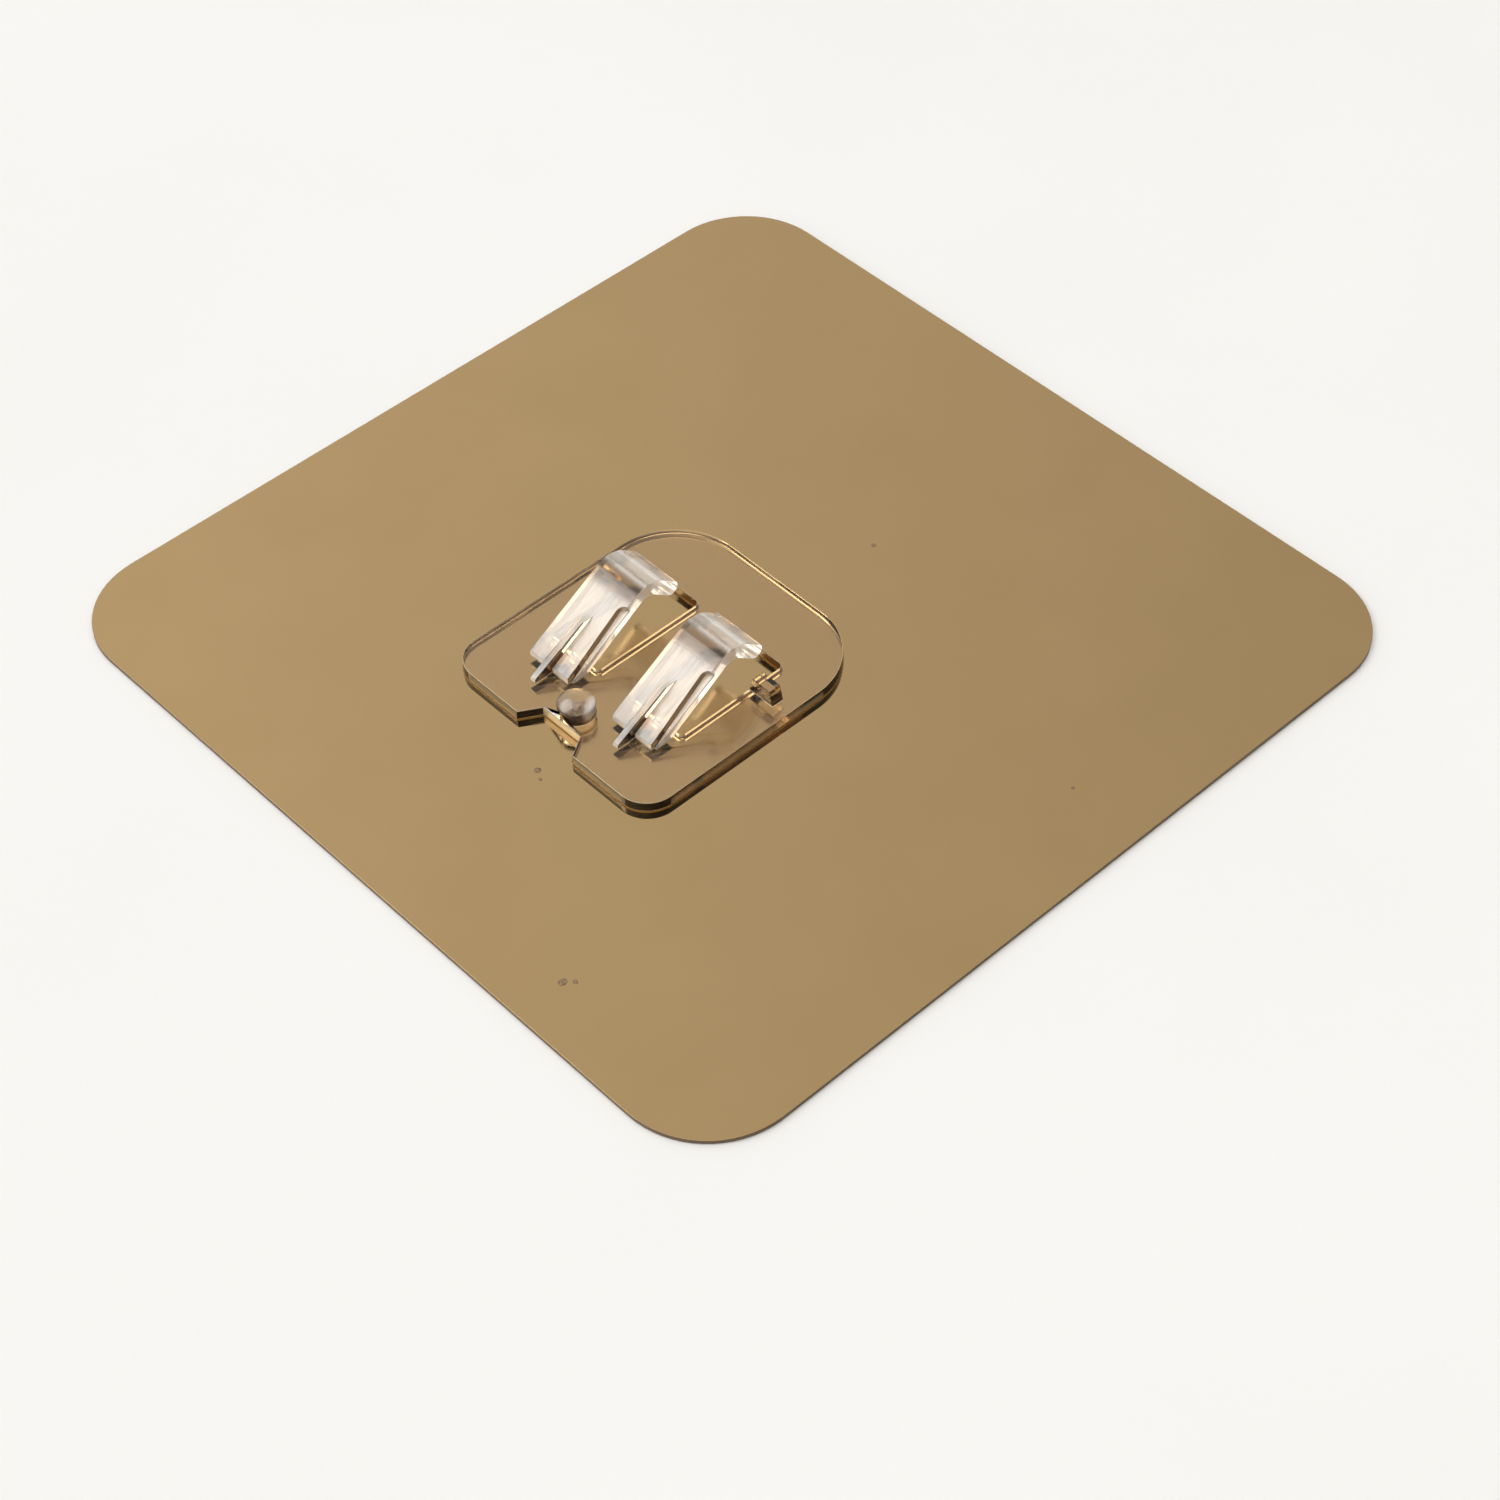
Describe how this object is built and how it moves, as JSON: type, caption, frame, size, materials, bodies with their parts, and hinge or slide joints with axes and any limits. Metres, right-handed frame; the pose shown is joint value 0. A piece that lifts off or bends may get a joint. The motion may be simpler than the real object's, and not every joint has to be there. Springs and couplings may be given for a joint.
{
  "type": "adhesive wall hook",
  "caption": "Square mirror-gold adhesive film carrying a clear moulded plate with snap-in wire hooks, backed by an adhesive layer and a peel-off release liner.",
  "frame": {"origin": "centre of the underside of the release liner", "axes": "+Z out of the wall, towards the hooks; +Y up on the wall, the way the hook mouths open; +X across the wall"},
  "size_m": [0.1, 0.1, 0.0084],
  "materials": {
    "clear_plastic": "polished clear injection moulding",
    "clear_bond": "clear bonding layer",
    "gold_mirror": "metallised mirror gold",
    "adhesive": "translucent pressure-sensitive adhesive",
    "liner": "siliconised glassine release paper"
  },
  "bodies": {
    "hook": {"hook_plate": "clear_plastic", "plate_bond": "clear_bond", "metallised_film": "gold_mirror", "adhesive_layer": "adhesive"},
    "liner": {"release_liner": "liner"}
  },
  "joints": [
    {"name": "liner_peel", "type": "hinge", "parent": "hook", "child": "liner", "pos_m": [-0.0503, 0, 0.00007], "axis": [0, 1, 0], "range_deg": [0, 180]}
  ]
}
